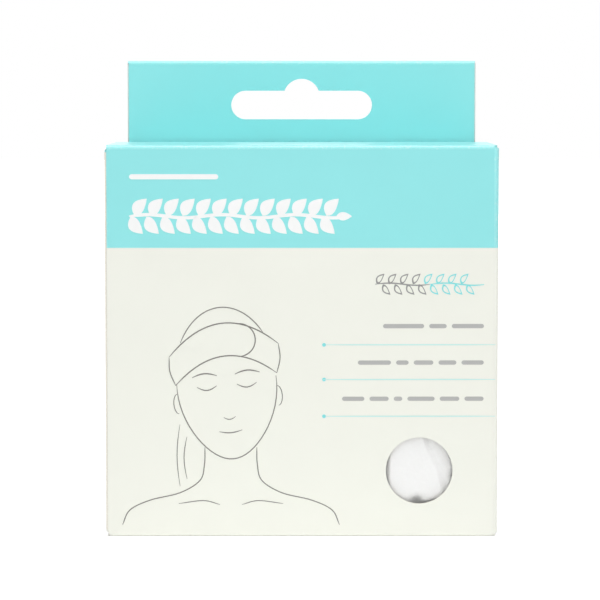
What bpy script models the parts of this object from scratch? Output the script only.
"""A boxed spa headband: a printed hanging carton with tuck ends, and the folded wrap headband inside it.

Metres, +Z up. The origin is the middle of the carton's footprint, on the surface that it stands on. The printed
front faces -Y, so +X is on the right of someone looking at it.
"""

import math

import bmesh
import bpy
from mathutils import Matrix, Vector

# Carton, outside sizes
BOX_WIDTH = 0.088
BOX_DEPTH = 0.038
BOX_HEIGHT = 0.088
BOARD = 0.0005
GAP = 0.0003  # left at each crease and between boards that lie on each other

# Openings cut in the board
WINDOW_RADIUS = 0.0075
WINDOW_X = 0.0264
WINDOW_Z = 0.0150
SLOT_LENGTH = 0.0332
SLOT_HEIGHT = 0.0067
SLOT_BOTTOM_RISE = 0.0053  # above the top of the box
HUMP_RADIUS = 0.0043
HUMP_RISE = 0.0028  # of the hook notch, above the straight slot

# Hanging header
TAB_WIDTH = 0.082
TAB_RISE = 0.019
TAB_PLY_INSIDE = 0.006  # how far the folded-down front ply reaches into the box
TAB_PLY_INSET = 0.0003

# Flaps
CORNER_TOP = 0.0010
CORNER_BOTTOM = 0.0014
LID_SIDE_CLEARANCE = 0.0004
TOP_LID_TO_PLY = 0.0006
BOTTOM_LID_TO_BACK = 0.0008
TOP_TUCK_LENGTH = 0.012
TOP_TUCK_LEAN = math.radians(18)
BOTTOM_TUCK_LENGTH = 0.008
BOTTOM_TUCK_LEAN = math.radians(8)
TUCK_SIDE_CLEARANCE = 0.0030
TUCK_CORNER_RADIUS = 0.0055
DUST_LENGTH = 0.017
DUST_SETBACK = 0.0012
DUST_REAR_CLEARANCE = 0.0040
DUST_REAR_TAPER = math.radians(15)
DUST_TIP_RADIUS = 0.0025
GLUE_FLAP_WIDTH = 0.011
GLUE_FLAP_TAPER = 0.004

# Folded headband
BAND_WIDTH = 0.0685
BAND_BOTTOM = 0.0018
PACK_HALF_LENGTH = 0.039
PACK_FRONT_CLEARANCE = 0.0035  # behind the front panel's printed face
LAYERS = 8
PLY = 0.00155
PLY_EDGE = 0.0009  # a ply's thickness at its sewn edge
SEAM_MARGIN = 0.0030
PLY_GAP = 0.0003
TONGUE_GAP = 0.0017  # room behind the first layer for the hook tape
LAYER_GAP = 0.0004
TONGUE_ROUNDING = 0.014
TAIL_ROUNDING = 0.012
END_HALF_HEIGHT = 0.004
TURN_STEPS = 12
END_STEPS = 14

# Closure and label
HOOK_SIZE = (0.030, 0.020, 0.0010)
HOOK_CENTRE_X = 0.014
LOOP_SIZE = (0.044, 0.026, 0.0008)
LOOP_CENTRE_X = 0.010
TAPE_CORNER = 0.0025
TAPE_GAP = 0.00035
LABEL_SIZE = (0.013, 0.008, 0.0003)
LABEL_CENTRE_X = 0.022
LABEL_LAYER = 4

FRONT = -BOX_DEPTH / 2
BACK = BOX_DEPTH / 2
RIGHT = BOX_WIDTH / 2
LEFT = -BOX_WIDTH / 2
STEP_IN = BOARD + GAP
DUST_TOP = BOX_HEIGHT - STEP_IN
DUST_BOTTOM = STEP_IN
TAB_PLY_FRONT = BACK - BOARD - STEP_IN
TOP_LID_DEPTH = TAB_PLY_FRONT - TOP_LID_TO_PLY - FRONT
BOTTOM_LID_DEPTH = BACK - BOARD - BOTTOM_LID_TO_BACK - FRONT
BAND = 2 * PLY + PLY_GAP
X, Y, Z = Vector((1, 0, 0)), Vector((0, 1, 0)), Vector((0, 0, 1))


def material(name, colour, roughness):
    made = bpy.data.materials.new(name)
    made.use_nodes = True
    shader = made.node_tree.nodes["Principled BSDF"]
    shader.inputs["Base Color"].default_value = (*colour, 1)
    shader.inputs["Roughness"].default_value = roughness
    shader.inputs["Metallic"].default_value = 0
    return made


def new_object(name, mesh, finish=None):
    made = bpy.data.objects.new(name, mesh)
    bpy.context.scene.collection.objects.link(made)
    if finish:
        mesh.materials.append(finish)
    return made


def frame_at(origin, right, up):
    """The place of a flat sheet: right and up run along its printed face, and the third axis points out of it."""
    out = right.cross(up)
    rotation = Matrix((right, up, out)).transposed().to_4x4()
    return Matrix.Translation(origin) @ rotation


def arc(centre, radius, start, end, steps):
    """Points on a circle from one angle to another, both in degrees and both ends included."""
    angles = [math.radians(start + (end - start) * i / steps) for i in range(steps + 1)]
    return [(centre[0] + radius * math.cos(a), centre[1] + radius * math.sin(a)) for a in angles]


def prism(name, outline, thickness):
    """A mesh with the outline, anticlockwise, as its face at height 0 and its other face thickness below."""
    bm = bmesh.new()
    face = bm.faces.new([bm.verts.new((u, v, 0)) for u, v in outline])
    extruded = bmesh.ops.extrude_face_region(bm, geom=[face], use_keep_orig=True)
    below = [e for e in extruded["geom"] if isinstance(e, bmesh.types.BMVert)]
    bmesh.ops.translate(bm, verts=below, vec=(0, 0, -thickness))
    bmesh.ops.recalc_face_normals(bm, faces=bm.faces)
    mesh = bpy.data.meshes.new(name)
    bm.to_mesh(mesh)
    bm.free()
    return mesh


def board(name, outline, place, finish):
    """A sheet of carton board. Its object's origin is the place's origin."""
    made = new_object(name, prism(name, outline, BOARD), finish)
    made.matrix_world = place
    return made


def cut(target, cutter):
    modifier = target.modifiers.new("Cut " + cutter.name, "BOOLEAN")
    modifier.operation = "DIFFERENCE"
    modifier.solver = "EXACT"
    modifier.object = cutter


def as_cutter(cutter):
    cutter.hide_render = True
    cutter.display_type = "WIRE"
    return cutter


# ---------------------------------------------------------------- carton body


def window_cutter():
    outline = arc((0, 0), WINDOW_RADIUS, 0, 360 - 360 / 64, 63)
    cutter = as_cutter(new_object("window_cutter", prism("window_cutter", outline, 6 * BOARD)))
    origin = Vector((WINDOW_X, FRONT - 2 * BOARD, WINDOW_Z))
    cutter.matrix_world = frame_at(origin, X, Z)
    return cutter


def slot_outline():
    """The hanging slot: a straight slot with round ends, and a notch on top for a single hook."""
    end = SLOT_HEIGHT / 2
    half = SLOT_LENGTH / 2 - end
    hump_centre = (0, end + HUMP_RISE - HUMP_RADIUS)
    meets = math.degrees(math.asin((HUMP_RADIUS - HUMP_RISE) / HUMP_RADIUS))
    outline = arc((half, 0), end, -90, 90, 16)
    outline += arc(hump_centre, HUMP_RADIUS, meets, 180 - meets, 20)
    return outline + arc((-half, 0), end, 90, 270, 16)


def slot_cutter():
    cutter = as_cutter(new_object("slot_cutter", prism("slot_cutter", slot_outline(), 8 * BOARD)))
    origin = Vector((0, TAB_PLY_FRONT - 2 * BOARD, BOX_HEIGHT + SLOT_BOTTOM_RISE + SLOT_HEIGHT / 2))
    cutter.matrix_world = frame_at(origin, X, Z)
    return cutter


def front_panel(finish):
    """Its corners are cut off where the creases meet. Its left edge is the crease of the glue flap."""
    left, low, high = LEFT + STEP_IN, STEP_IN, BOX_HEIGHT - STEP_IN
    bottom, top = CORNER_BOTTOM, CORNER_TOP
    outline = [(left + bottom, low), (RIGHT - bottom, low), (RIGHT, low + bottom), (RIGHT, high - top)]
    outline += [(RIGHT - top, high), (left + top, high), (left, high - top), (left, low + bottom)]
    made = board("front_panel", outline, frame_at(Vector((0, FRONT, 0)), X, Z), finish)
    cut(made, window_cutter())


def side_panels(finish):
    """The left panel's free edge comes forward to the printed face, over the glue flap. The right one is creased."""
    low, high = DUST_BOTTOM + STEP_IN, DUST_TOP - STEP_IN
    rear = BACK - STEP_IN
    right = [(FRONT + STEP_IN, low), (rear, low), (rear, high), (FRONT + STEP_IN, high)]
    board("right_side_panel", right, frame_at(Vector((RIGHT, 0, 0)), Y, Z), finish)
    left = [(-rear, low), (-FRONT, low), (-FRONT, high), (-rear, high)]
    board("left_side_panel", left, frame_at(Vector((LEFT, 0, 0)), -Y, Z), finish)


def back_panel(finish, cutter):
    """The back and the rear ply of the header are one flat sheet."""
    half, tab, top = BOX_WIDTH / 2, TAB_WIDTH / 2, BOX_HEIGHT + TAB_RISE
    shoulder = BOX_HEIGHT - GAP
    outline = [(-half, STEP_IN), (half, STEP_IN), (half, shoulder), (tab, shoulder)]
    outline += [(tab, top), (-tab, top), (-tab, shoulder), (-half, shoulder)]
    made = board("back_panel", outline, frame_at(Vector((0, BACK, 0)), -X, Z), finish)
    cut(made, cutter)


def hang_tab_front_ply(finish, cutter):
    half = TAB_WIDTH / 2 - TAB_PLY_INSET
    low, high = BOX_HEIGHT - TAB_PLY_INSIDE, BOX_HEIGHT + TAB_RISE
    outline = [(-half, low), (half, low), (half, high), (-half, high)]
    made = board("hang_tab_front_ply", outline, frame_at(Vector((0, TAB_PLY_FRONT, 0)), X, Z), finish)
    cut(made, cutter)


def glue_flap(finish):
    """Creased back from the front panel's left edge, and glued behind the left panel."""
    near, far = -(FRONT + STEP_IN), -(FRONT + STEP_IN + GLUE_FLAP_WIDTH)
    low, high = DUST_BOTTOM + STEP_IN + BOARD, DUST_TOP - STEP_IN - BOARD
    outline = [(far, low + GLUE_FLAP_TAPER), (near, low), (near, high), (far, high - GLUE_FLAP_TAPER)]
    board("glue_flap", outline, frame_at(Vector((LEFT + STEP_IN, 0, 0)), -Y, Z), finish)


# ---------------------------------------------------------------- end flaps


def lid(name, depth, origin, right, corner, finish):
    """A lid creased to the front panel, with its origin on the crease and its free edge towards the back."""
    half = BOX_WIDTH / 2 - LID_SIDE_CLEARANCE
    outline = [(corner - half, 0), (half - corner, 0), (half, corner)]
    outline += [(half, depth), (-half, depth), (-half, corner)]
    board(name, outline, frame_at(origin, right, Y), finish)


def tuck_outline(length):
    """A tongue below its crease, with round lower corners."""
    half = BOX_WIDTH / 2 - TUCK_SIDE_CLEARANCE
    top, low, r = -STEP_IN - GAP, -length, TUCK_CORNER_RADIUS
    outline = [(half, top), (-half, top)]
    outline += arc((-half + r, low + r), r, 180, 270, 8)
    return outline + arc((half - r, low + r), r, 270, 360, 8)


def tuck_flap(name, length, lean, origin, right, up, finish):
    """A tuck flap with its origin on the lid's rear crease. It leans away from the back panel by lean."""
    place = frame_at(origin, right, up) @ Matrix.Rotation(lean, 4, "X")
    board(name, tuck_outline(length), place, finish)


def dust_outline(mirrored):
    """u runs inwards from the crease and v from the front crease to the back. The 45 degree edge clears the lid."""
    rear = TOP_LID_DEPTH - DUST_REAR_CLEARANCE + DUST_SETBACK
    tip_front = DUST_SETBACK + DUST_LENGTH
    tip_rear = rear - DUST_LENGTH * math.tan(DUST_REAR_TAPER)
    r = DUST_TIP_RADIUS
    front_reach = r * math.tan(math.radians(22.5))
    outline = [(0, DUST_SETBACK)]
    outline += arc((DUST_LENGTH - r, tip_front + front_reach), r, -45, 0, 5)
    outline += arc((DUST_LENGTH - r, tip_rear - r), r, 0, 75, 5)
    outline += [(0, rear)]
    return [(-u, v) for u, v in reversed(outline)] if mirrored else outline


def dust_flap(name, origin, inwards, out, finish):
    """A dust flap creased to a side panel. Its origin is on the crease, level with the carton's front."""
    mirrored = inwards.cross(Y).dot(out) < 0
    right = -inwards if mirrored else inwards
    board(name, dust_outline(mirrored), frame_at(origin, right, Y), finish)


def top_flaps(finish):
    rear = FRONT + TOP_LID_DEPTH
    lid("top_lid", TOP_LID_DEPTH, Vector((0, FRONT, BOX_HEIGHT)), X, CORNER_TOP, finish)
    crease = Vector((0, rear, BOX_HEIGHT))
    tuck_flap("top_tuck_flap", TOP_TUCK_LENGTH, TOP_TUCK_LEAN, crease, -X, Z, finish)
    dust_flap("top_dust_flap_left", Vector((LEFT, FRONT, DUST_TOP)), X, Z, finish)
    dust_flap("top_dust_flap_right", Vector((RIGHT, FRONT, DUST_TOP)), -X, Z, finish)


def bottom_flaps(finish):
    rear = FRONT + BOTTOM_LID_DEPTH
    lid("bottom_lid", BOTTOM_LID_DEPTH, Vector((0, FRONT, 0)), -X, CORNER_BOTTOM, finish)
    crease = Vector((0, rear, 0))
    tuck_flap("bottom_tuck_flap", BOTTOM_TUCK_LENGTH, BOTTOM_TUCK_LEAN, crease, X, -Z, finish)
    dust_flap("bottom_dust_flap_left", Vector((LEFT, FRONT, DUST_BOTTOM)), X, -Z, finish)
    dust_flap("bottom_dust_flap_right", Vector((RIGHT, FRONT, DUST_BOTTOM)), -X, -Z, finish)


# ---------------------------------------------------------------- folded headband


def layer_positions():
    """Y of each layer's middle, from the front of the pack to its back."""
    first = FRONT + PACK_FRONT_CLEARANCE + BAND / 2
    steps = [TONGUE_GAP] + [LAYER_GAP] * (LAYERS - 2)
    return [first + sum(BAND + s for s in steps[:k]) for k in range(LAYERS)]


def half_height(distance, rounding):
    """Half of the band's width at a distance from one of its rounded ends."""
    if distance >= rounding:
        return BAND_WIDTH / 2
    share = 1 - distance / rounding
    return max(END_HALF_HEIGHT, BAND_WIDTH / 2 * math.sqrt(1 - share * share))


def end_distances(rounding):
    """Distances from a rounded end, close together where its outline turns fastest."""
    quarter = [math.pi / 2 * i / END_STEPS for i in range(END_STEPS + 1)]
    return [rounding * (1 - math.cos(a)) for a in quarter]


def band_stations():
    """(x, y, direction across the band, half height) along the folded band, from its tongue to its tail.

    The band runs zigzag between the pack's two ends, one layer behind the other. The direction across it points
    to the ply that faces the front on the first layer.
    """
    ys = layer_positions()
    stations = []
    for distance in end_distances(TONGUE_ROUNDING):
        stations.append((PACK_HALF_LENGTH - distance, ys[0], (0, -1), half_height(distance, TONGUE_ROUNDING)))
    for k in range(LAYERS - 1):
        side = -1 if k % 2 == 0 else 1
        radius = (ys[k + 1] - ys[k]) / 2
        centre_x = side * (PACK_HALF_LENGTH - radius - BAND / 2)
        centre_y = (ys[k] + ys[k + 1]) / 2
        for i in range(TURN_STEPS + 1):
            angle = math.pi * i / TURN_STEPS
            outward = (side * math.sin(angle), -math.cos(angle))
            spot = (centre_x + radius * outward[0], centre_y + radius * outward[1])
            across = outward if side < 0 else (-outward[0], -outward[1])
            stations.append((*spot, across, BAND_WIDTH / 2))
    for distance in reversed(end_distances(TAIL_ROUNDING)):
        stations.append((PACK_HALF_LENGTH - distance, ys[-1], (0, 1), half_height(distance, TAIL_ROUNDING)))
    return stations


def ply_section(half, side):
    """(offset across the band, height) round one ply: flat inside, and thinner at its two sewn edges."""
    inner = side * PLY_GAP / 2
    edge = inner + side * PLY_EDGE
    outer = inner + side * PLY
    margin = min(SEAM_MARGIN, half * 0.5)
    return [(inner, -half), (edge, -half), (outer, margin - half), (outer, half - margin), (edge, half), (inner, half)]


def ply(name, side, finish):
    """One of the two layers of fabric that are sewn together into the band. side is 1 or -1."""
    bm = bmesh.new()
    middle = BAND_BOTTOM + BAND_WIDTH / 2
    rings = []
    for x, y, across, half in band_stations():
        section = ply_section(half, side)
        rings.append([bm.verts.new((x + across[0] * o, y + across[1] * o, middle + z)) for o, z in section])
    for here, after in zip(rings, rings[1:]):
        for i in range(len(here)):
            j = (i + 1) % len(here)
            bm.faces.new((here[i], here[j], after[j], after[i]))
    bm.faces.new(rings[0])
    bm.faces.new(list(reversed(rings[-1])))
    bmesh.ops.recalc_face_normals(bm, faces=bm.faces)
    mesh = bpy.data.meshes.new(name)
    bm.to_mesh(mesh)
    bm.free()
    made = new_object(name, mesh, finish)
    mesh.shade_smooth()
    mesh.set_sharp_from_angle(angle=math.radians(40))
    return made


def rounded_rectangle(width, height, radius):
    u, v = width / 2 - radius, height / 2 - radius
    outline = arc((u, -v), radius, -90, 0, 4) + arc((u, v), radius, 0, 90, 4)
    return outline + arc((-u, v), radius, 90, 180, 4) + arc((-u, -v), radius, 180, 270, 4)


def closure(hook_finish, loop_finish):
    """The hook tape behind the tongue, and the loop tape on the tail's outer face, which it fastens to."""
    ys = layer_positions()
    middle = BAND_BOTTOM + BAND_WIDTH / 2
    length, height, thick = HOOK_SIZE
    mesh = prism("hook_tape", rounded_rectangle(length, height, TAPE_CORNER), thick)
    hook = new_object("hook_tape", mesh, hook_finish)
    hook.matrix_world = frame_at(Vector((HOOK_CENTRE_X, ys[0] + BAND / 2 + TAPE_GAP, middle)), X, Z)
    length, height, thick = LOOP_SIZE
    mesh = prism("loop_tape", rounded_rectangle(length, height, TAPE_CORNER), thick)
    loop = new_object("loop_tape", mesh, loop_finish)
    loop.matrix_world = frame_at(Vector((LOOP_CENTRE_X, ys[-1] + BAND / 2 + GAP + thick, middle)), -X, Z)


def care_label(finish):
    """A satin label, sewn into the seam at the band's upper edge."""
    width, height, thick = LABEL_SIZE
    outline = [(-width / 2, 0), (width / 2, 0), (width / 2, height), (-width / 2, height)]
    made = new_object("care_label", prism("care_label", outline, thick), finish)
    y = layer_positions()[LABEL_LAYER] - thick / 2
    made.matrix_world = frame_at(Vector((LABEL_CENTRE_X, y, BAND_BOTTOM + BAND_WIDTH + GAP)), X, Z)


def clear_scene():
    for old in list(bpy.data.objects):
        bpy.data.objects.remove(old)


def build():
    clear_scene()
    cream = material("cream_print", (0.88, 0.89, 0.83), 0.45)
    turquoise = material("turquoise_print", (0.25, 0.78, 0.80), 0.40)
    fleece = material("microfibre_fleece", (0.90, 0.90, 0.88), 0.95)
    nylon = material("hook_nylon", (0.86, 0.86, 0.84), 0.60)
    satin = material("label_satin", (0.93, 0.93, 0.92), 0.35)

    slot = slot_cutter()
    front_panel(cream)
    side_panels(cream)
    back_panel(cream, slot)
    hang_tab_front_ply(turquoise, slot)
    glue_flap(cream)
    top_flaps(turquoise)
    bottom_flaps(cream)
    ply("headband_outer_ply", 1, fleece)
    ply("headband_inner_ply", -1, fleece)
    closure(nylon, fleece)
    care_label(satin)


build()
